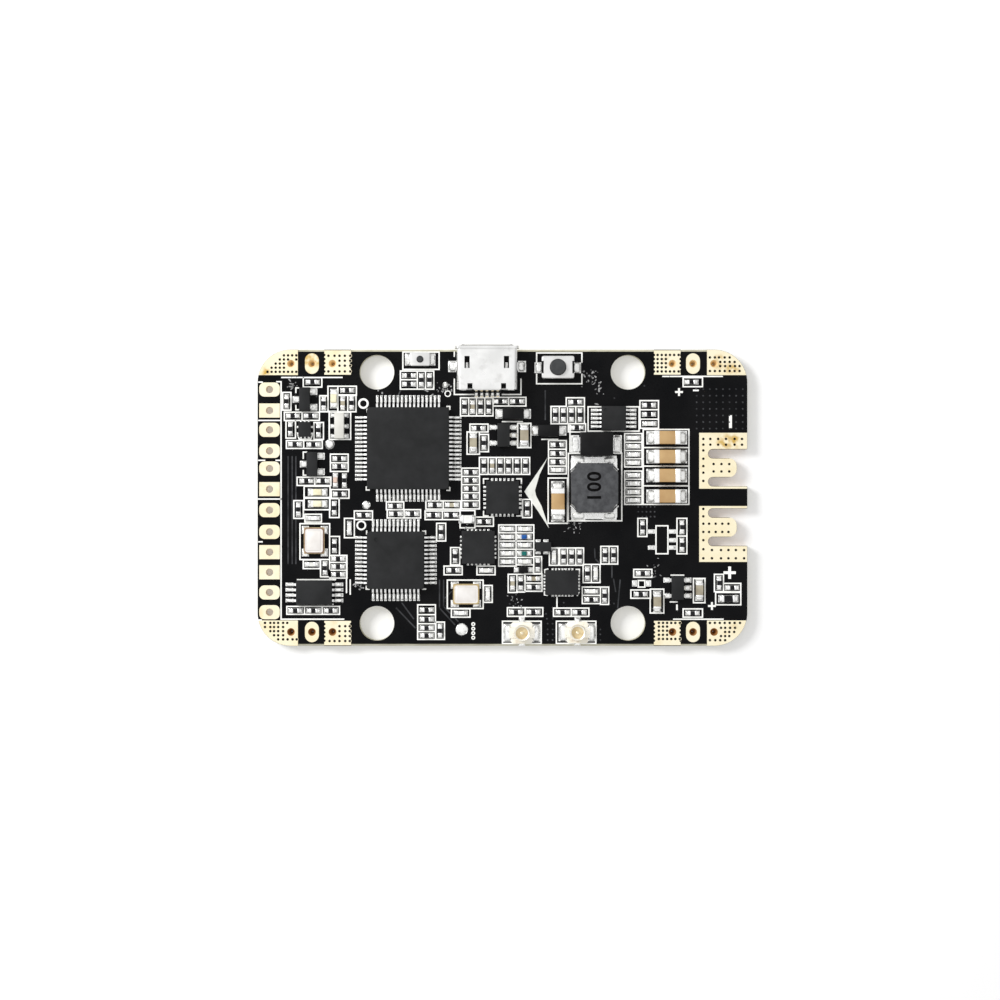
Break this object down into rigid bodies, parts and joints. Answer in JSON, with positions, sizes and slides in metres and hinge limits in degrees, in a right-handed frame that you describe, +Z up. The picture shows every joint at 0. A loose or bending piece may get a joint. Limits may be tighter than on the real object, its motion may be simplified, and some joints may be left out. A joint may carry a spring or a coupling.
{
  "type": "flight controller board",
  "caption": "Drone flight controller circuit board with processors, motion sensor, USB socket, two push buttons, antenna sockets and slotted battery pads.",
  "frame": {"origin": "underside of the circuit board, at the middle of the four mounting holes", "axes": "+X towards the battery pads on the slotted edge, +Y towards the USB socket, +Z up, out of the component side"},
  "size_m": [0.0596, 0.0364, 0.0044],
  "materials": {
    "board": "gloss",
    "steel": "satin",
    "tin": "gloss",
    "gold": "gloss",
    "chip_epoxy": "matte",
    "dark_plastic": "satin",
    "cream_plastic": "satin",
    "ceramic": "satin",
    "ferrite": "matte",
    "crystal_base": "satin",
    "lamp_blue": "gloss",
    "lamp_green": "gloss",
    "lamp_white": "gloss"
  },
  "bodies": {
    "board": {"circuit_board": "board", "usb_shell": "steel", "usb_tongue": "dark_plastic", "usb_contact_1": "gold", "usb_contact_2": "gold", "usb_contact_3": "gold", "usb_contact_4": "gold", "usb_contact_5": "gold", "bind_button_base": "dark_plastic", "bind_button_dome": "steel", "bind_button_cover": "steel", "bind_button_terminal_1": "tin", "bind_button_terminal_2": "tin", "boot_button_base": "dark_plastic", "boot_button_dome": "steel", "boot_button_cover": "steel", "boot_button_terminal_1": "tin", "boot_button_terminal_2": "tin", "main_processor": "chip_epoxy", "receiver_processor": "chip_epoxy", "step_down_regulator": "chip_epoxy", "memory_chip": "chip_epoxy", "transistor_1": "chip_epoxy", "transistor_2": "chip_epoxy", "linear_regulator_1": "chip_epoxy", "linear_regulator_2": "chip_epoxy", "radio_transceiver": "chip_epoxy", "motion_sensor": "chip_epoxy", "radio_front_end": "chip_epoxy", "pressure_sensor": "chip_epoxy", "radio_switch": "chip_epoxy", "schottky_diode": "chip_epoxy", "diode_1": "chip_epoxy", "diode_2": "chip_epoxy", "diode_3": "chip_epoxy", "inductor_core": "ferrite", "inductor_terminal_1": "tin", "inductor_terminal_2": "tin", "bulk_capacitor_1": "ceramic", "bulk_capacitor_2": "ceramic", "bulk_capacitor_3": "ceramic", "bulk_capacitor_4": "ceramic", "filter_capacitor": "ceramic", "crystal_1_base": "crystal_base", "crystal_1_lid": "steel", "crystal_2_base": "crystal_base", "crystal_2_lid": "steel", "ceramic_resonator": "ceramic", "antenna_socket_1_base": "cream_plastic", "antenna_socket_1_ring": "gold", "antenna_socket_1_pin": "gold", "antenna_socket_2_base": "cream_plastic", "antenna_socket_2_ring": "gold", "antenna_socket_2_pin": "gold", "blue_lamp": "lamp_blue", "green_lamp": "lamp_green", "power_lamp": "lamp_white"},
    "bind_plunger": {"bind_button_plunger": "dark_plastic"},
    "boot_plunger": {"boot_button_plunger": "dark_plastic"}
  },
  "joints": [
    {"name": "bind_press", "type": "slide", "parent": "board", "child": "bind_plunger", "axis": [0, 0, -1], "range_m": [0, 0.00025], "stiffness_N_per_m": 6000},
    {"name": "boot_press", "type": "slide", "parent": "board", "child": "boot_plunger", "axis": [0, 0, -1], "range_m": [0, 0.00015], "stiffness_N_per_m": 6000}
  ]
}
